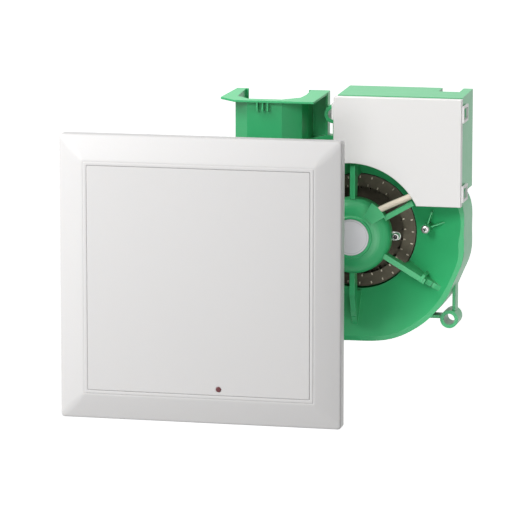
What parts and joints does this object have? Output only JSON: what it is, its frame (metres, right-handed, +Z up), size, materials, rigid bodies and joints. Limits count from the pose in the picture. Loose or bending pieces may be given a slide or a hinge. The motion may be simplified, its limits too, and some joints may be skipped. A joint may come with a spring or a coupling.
{
  "type": "flush-mounted extract fan with facade",
  "caption": "Flush-mounted extract fan insert with scroll housing, drum impeller, electronics box and a separate square bevelled facade with filter.",
  "frame": {"origin": "on the motor axis, on the pad in the middle of the casing's rear wall", "axes": "+X to the right seen from the front, +Y into the wall along the motor axis, +Z up"},
  "size_m": [0.368, 0.1638, 0.3035],
  "materials": {
    "green_moulding": "satin moulded plastic",
    "white_cover": "fine satin moulded plastic",
    "white_facade": "smooth satin moulded plastic",
    "white_base": "satin moulded plastic",
    "zinc_screws": "zinc plated",
    "zinc_sheet": "galvanised sheet",
    "bronze_sheet": "dark chromated sheet",
    "bearing_steel": "ground steel",
    "shaft_steel": "ground steel",
    "lamination_steel": "stacked laminations",
    "winding_copper": "enamelled copper wire",
    "spring_steel": "spring steel strip",
    "label_foil": "plain silver-grey foil",
    "cable_sheath": "cream sheathed cable",
    "black_rubber": "soft rubber",
    "circuit_board": "solder-masked board",
    "dark_component": "moulded component",
    "yellow_component": "taped component",
    "white_component": "moulded component",
    "blue_component": "moulded component",
    "terminal_plastic": "moulded component",
    "grey_foam": "closed-cell foam strip",
    "red_lens": "dark red lens",
    "filter_fleece": "non-woven fleece"
  },
  "bodies": {
    "fan_case": {"scroll_rear_shell": "green_moulding", "scroll_front_shell": "green_moulding", "electronics_box": "green_moulding", "cable_clamp_cover": "green_moulding", "housing_screws": "zinc_screws", "motor_screws": "zinc_screws", "motor_flange": "zinc_sheet", "front_bearing": "bearing_steel", "rear_bearing": "bearing_steel", "stator_core": "lamination_steel", "stator_windings": "winding_copper", "motor_label": "label_foil", "motor_cable": "cable_sheath", "supply_cable_grommet": "black_rubber", "control_board": "circuit_board", "board_screws": "zinc_screws", "relay": "dark_component", "transformer": "yellow_component", "motor_capacitor": "white_component", "cable_header": "white_component", "cable_plug": "white_component", "terminal_block": "terminal_plastic", "terminal_screws": "zinc_screws", "run_on_trimmer_body": "blue_component"},
    "trimmer_dial": {"run_on_trimmer_dial": "white_component"},
    "impeller": {"rotor_can": "zinc_sheet", "rotor_cage": "lamination_steel", "motor_shaft": "shaft_steel", "impeller_front_ring": "bronze_sheet", "impeller_blades": "bronze_sheet", "impeller_back_disc": "bronze_sheet", "impeller_rivets": "zinc_screws"},
    "cover": {"electronics_cover": "white_cover"},
    "facade": {"facade_frame": "white_facade", "facade_base": "white_base", "facade_springs": "spring_steel", "wall_seal_strip": "grey_foam"},
    "front_panel": {"facade_panel": "white_facade", "indicator_lens": "red_lens"},
    "filter": {"filter_mat": "filter_fleece", "filter_frame": "white_base"}
  },
  "joints": [
    {"name": "impeller_spin", "type": "hinge", "parent": "fan_case", "child": "impeller", "pos_m": [0, -0.0192, 0], "axis": [0, 1, 0], "continuous": true},
    {"name": "cover_lift_off", "type": "slide", "parent": "fan_case", "child": "cover", "axis": [0, -1, 0], "range_m": [0, 0.03]},
    {"name": "run_on_trimmer", "type": "hinge", "parent": "fan_case", "child": "trimmer_dial", "pos_m": [0.084, -0.0392, 0.0885], "axis": [0, -1, 0], "range_deg": [0, 270]},
    {"name": "facade_travel", "type": "slide", "parent": "fan_case", "child": "facade", "axis": [-0.8121, -0.4727, -0.3422], "range_m": [-0.14174, 0]},
    {"name": "panel_pull_off", "type": "slide", "parent": "facade", "child": "front_panel", "axis": [0, -1, 0], "range_m": [0, 0.06]},
    {"name": "filter_pull_out", "type": "slide", "parent": "facade", "child": "filter", "axis": [0, -1, 0], "range_m": [0, 0.03]}
  ],
  "couplings": [
    {"joint": "filter_pull_out", "follows": "panel_pull_off", "ratio": 0.5}
  ]
}
